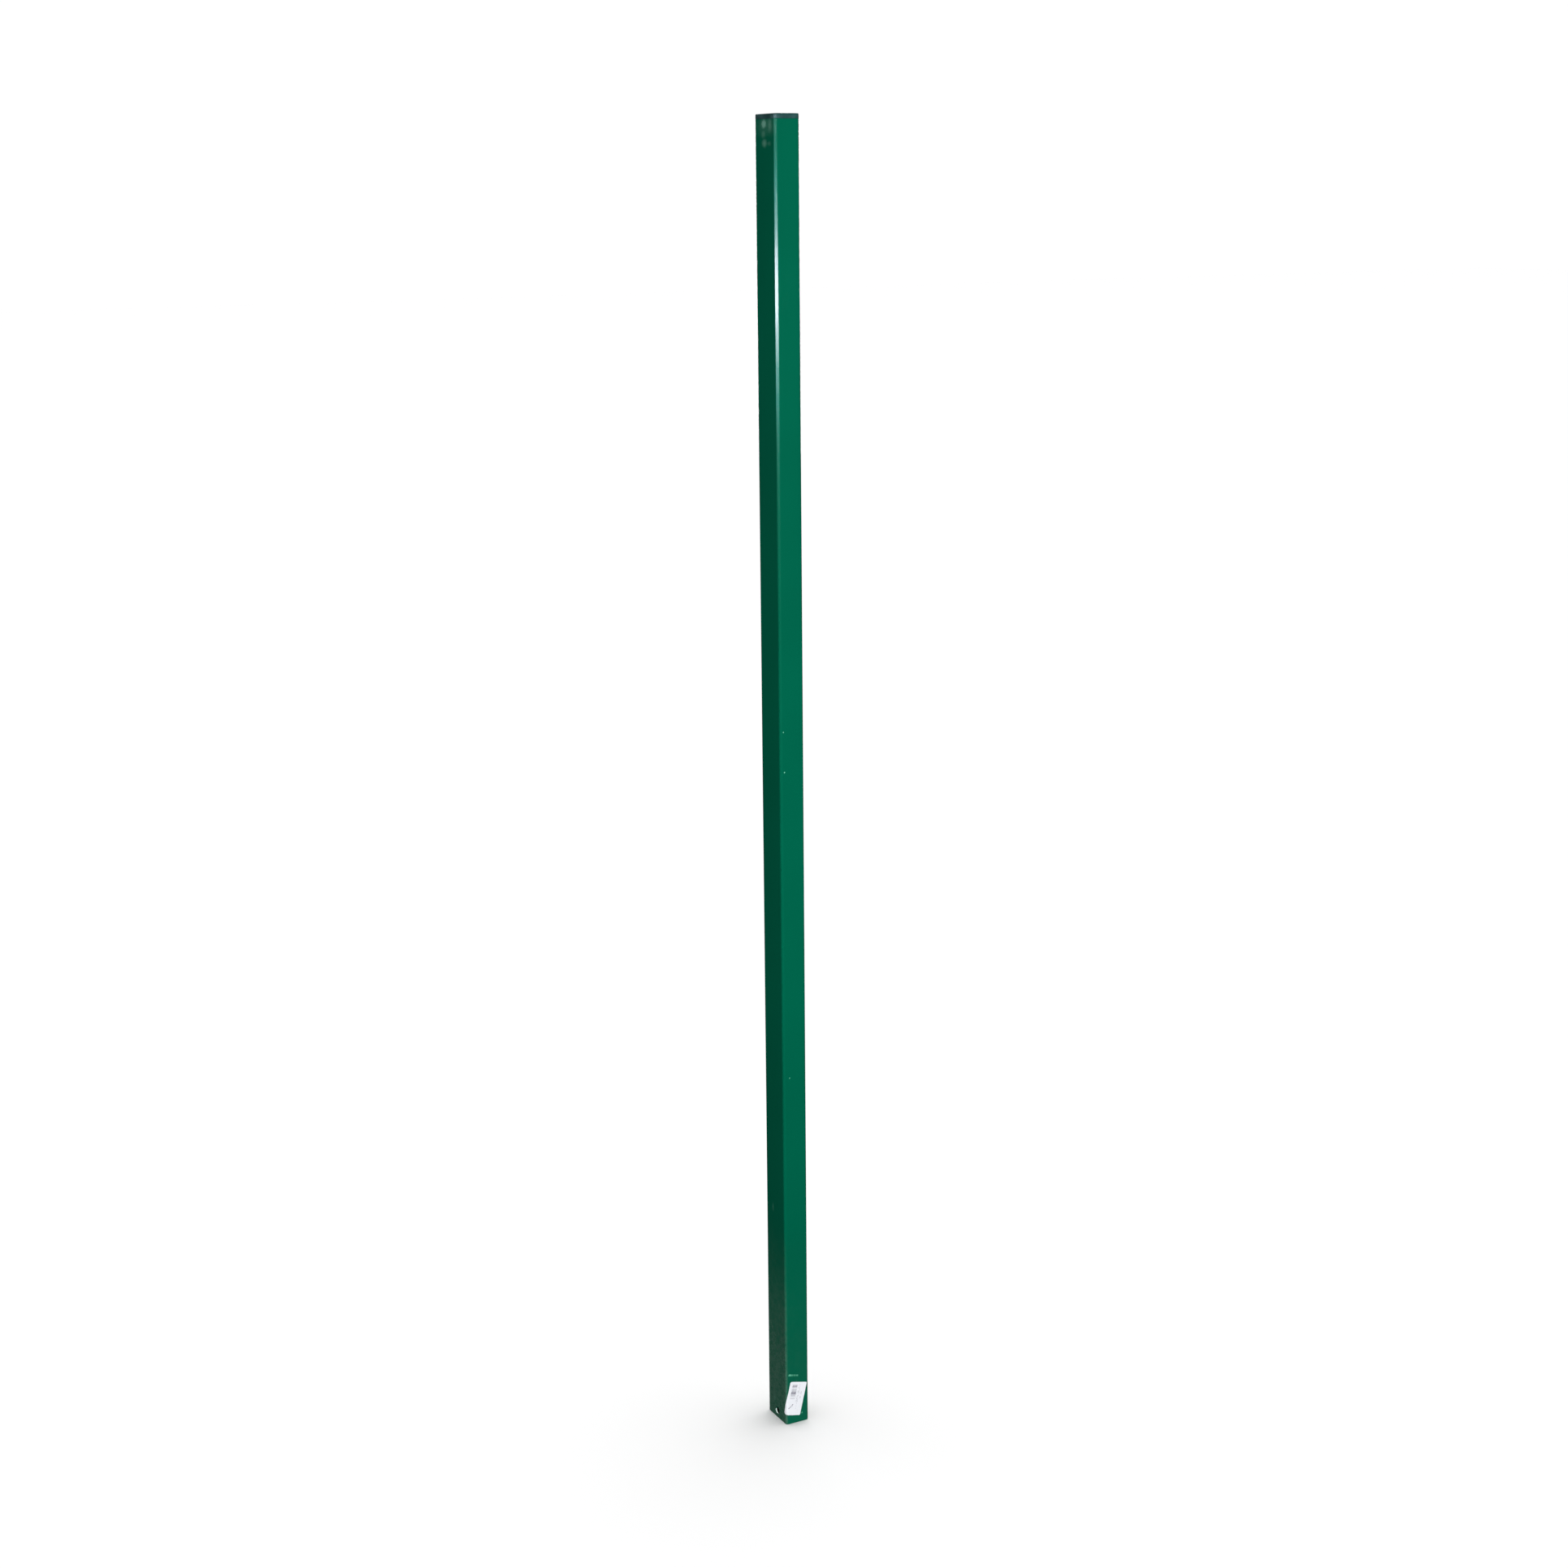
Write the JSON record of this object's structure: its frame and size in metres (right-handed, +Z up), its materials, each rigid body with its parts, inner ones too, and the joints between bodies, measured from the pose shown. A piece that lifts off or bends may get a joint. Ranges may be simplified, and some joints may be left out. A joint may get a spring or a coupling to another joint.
{
  "type": "rectangular hollow post",
  "caption": "Tall rectangular hollow-section post in glossy coated steel, with a push-in end cap, a cross hole at its foot and a wrapped stock label.",
  "frame": {"origin": "centre of the post's section at its foot, on the surface it stands on", "axes": "+Z up the post; the wide faces look along X and the narrow faces along Y; the label is on the -Y face"},
  "size_m": [0.0402, 0.0602, 2.0076],
  "materials": {
    "coated_steel": "gloss",
    "cap_plastic": "satin",
    "label_film": "satin"
  },
  "bodies": {
    "post": {"post_tube": "coated_steel", "label": "label_film"},
    "cap": {"end_cap": "cap_plastic"}
  },
  "joints": [
    {"name": "cap_pull", "type": "slide", "parent": "post", "child": "cap", "axis": [0, 0, 1], "range_m": [0, 0.03]}
  ]
}
